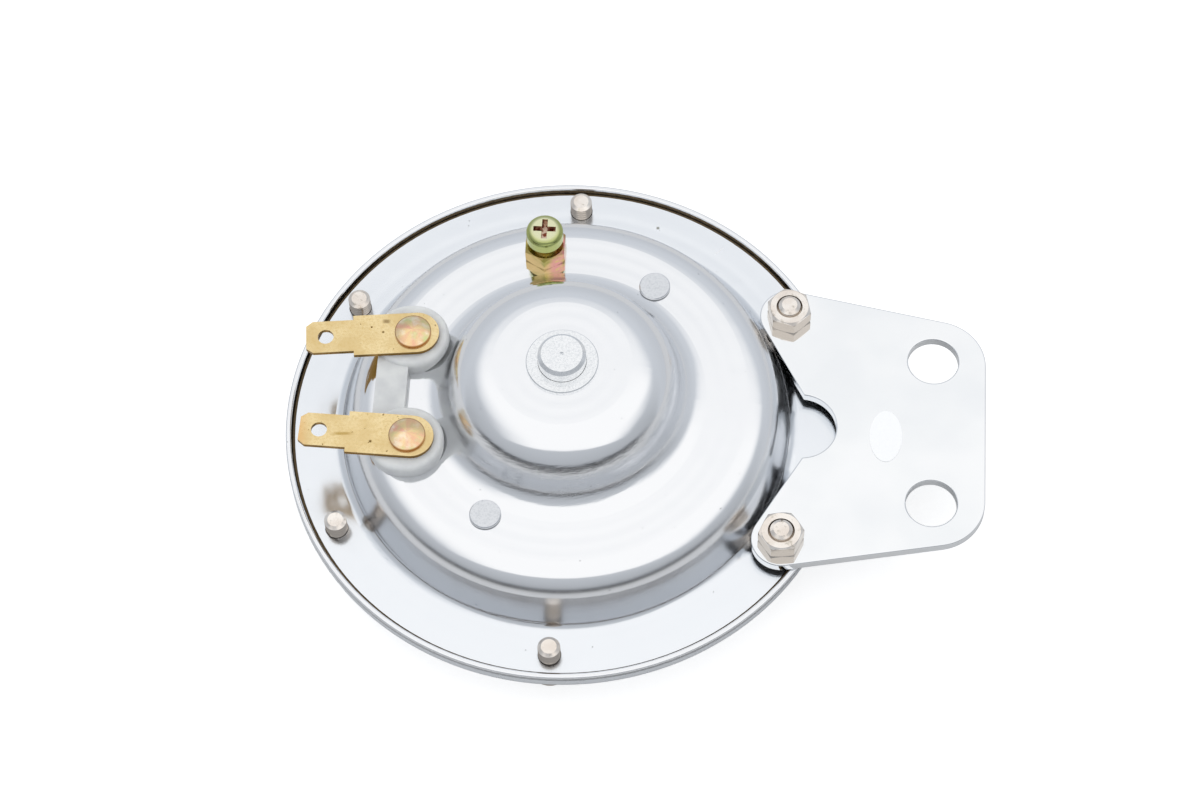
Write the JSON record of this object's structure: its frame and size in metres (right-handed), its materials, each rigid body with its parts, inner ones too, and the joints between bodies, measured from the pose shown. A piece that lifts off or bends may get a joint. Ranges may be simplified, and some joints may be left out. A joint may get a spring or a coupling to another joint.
{
  "type": "disc horn",
  "caption": "Disc horn for a vehicle, stepped round steel housing with flat mounting bracket, two flat plug terminals, adjusting screw and slotted front.",
  "frame": {"origin": "on the horn's axis in the plane of the front rest face", "axes": "+Z along the axis towards the back with the dome, +X towards the mounting bracket, +Y completes a right-handed frame"},
  "size_m": [0.1244, 0.1, 0.0358],
  "materials": {
    "housing_plate": "satin bright plated steel",
    "cover_plate": "bright plated steel",
    "gasket_fibre": "pressed fibre",
    "spring_steel": "rolled",
    "screw_nickel": "nickel plated",
    "bracket_chrome": "polished",
    "label_white": "matt",
    "core_steel": "bright plated",
    "bobbin_plastic": "moulded",
    "winding_copper": "enamelled copper wire",
    "terminal_nylon": "moulded, slightly translucent",
    "terminal_brass": "stamped sheet",
    "rivet_passivated": "yellow passivated with pink and green tints",
    "insulator_board": "laminated board",
    "adjuster_passivated": "yellow passivated",
    "contact_metal": "ground",
    "resistor_ceramic": "wire wound body"
  },
  "bodies": {
    "horn": {"housing_shell": "housing_plate", "front_cover": "cover_plate", "housing_gasket": "gasket_fibre", "front_gasket": "gasket_fibre", "diaphragm": "spring_steel", "cover_screws": "screw_nickel", "bracket_screws": "screw_nickel", "mounting_bracket": "bracket_chrome", "bracket_spacers": "screw_nickel", "bracket_nuts": "screw_nickel", "rating_label": "label_white", "pole_core": "core_steel", "pole_washer": "core_steel", "coil_bobbin": "bobbin_plastic", "coil_winding": "winding_copper", "terminal_block": "terminal_nylon", "terminal_blade_upper": "terminal_brass", "terminal_blade_lower": "terminal_brass", "terminal_rivets": "rivet_passivated", "inner_insulator": "insulator_board", "terminal_tags": "terminal_brass", "adjuster_lock_nut": "adjuster_passivated", "plate_rivets": "screw_nickel", "breaker_insulators": "insulator_board", "fixed_contact_leaf": "spring_steel", "moving_contact_leaf": "spring_steel", "moving_contact_point": "contact_metal", "fixed_contact_point": "contact_metal", "resistor_clip": "spring_steel", "spark_resistor": "resistor_ceramic"},
    "vibrator": {"armature": "core_steel", "tone_disc_spacer": "core_steel", "tone_disc": "cover_plate", "armature_nut": "screw_nickel"},
    "adjuster": {"adjusting_screw": "adjuster_passivated"}
  },
  "joints": [
    {"name": "diaphragm_stroke", "type": "slide", "parent": "horn", "child": "vibrator", "axis": [0, 0, 1], "range_m": [0, 0.0005], "stiffness_N_per_m": 10000, "deforming": ["diaphragm", "moving_contact_leaf"]},
    {"name": "adjuster_turn", "type": "hinge", "parent": "horn", "child": "adjuster", "pos_m": [-0.00517, 0.0293, 0.021], "axis": [0, 0, 1], "range_deg": [-180, 180]}
  ]
}
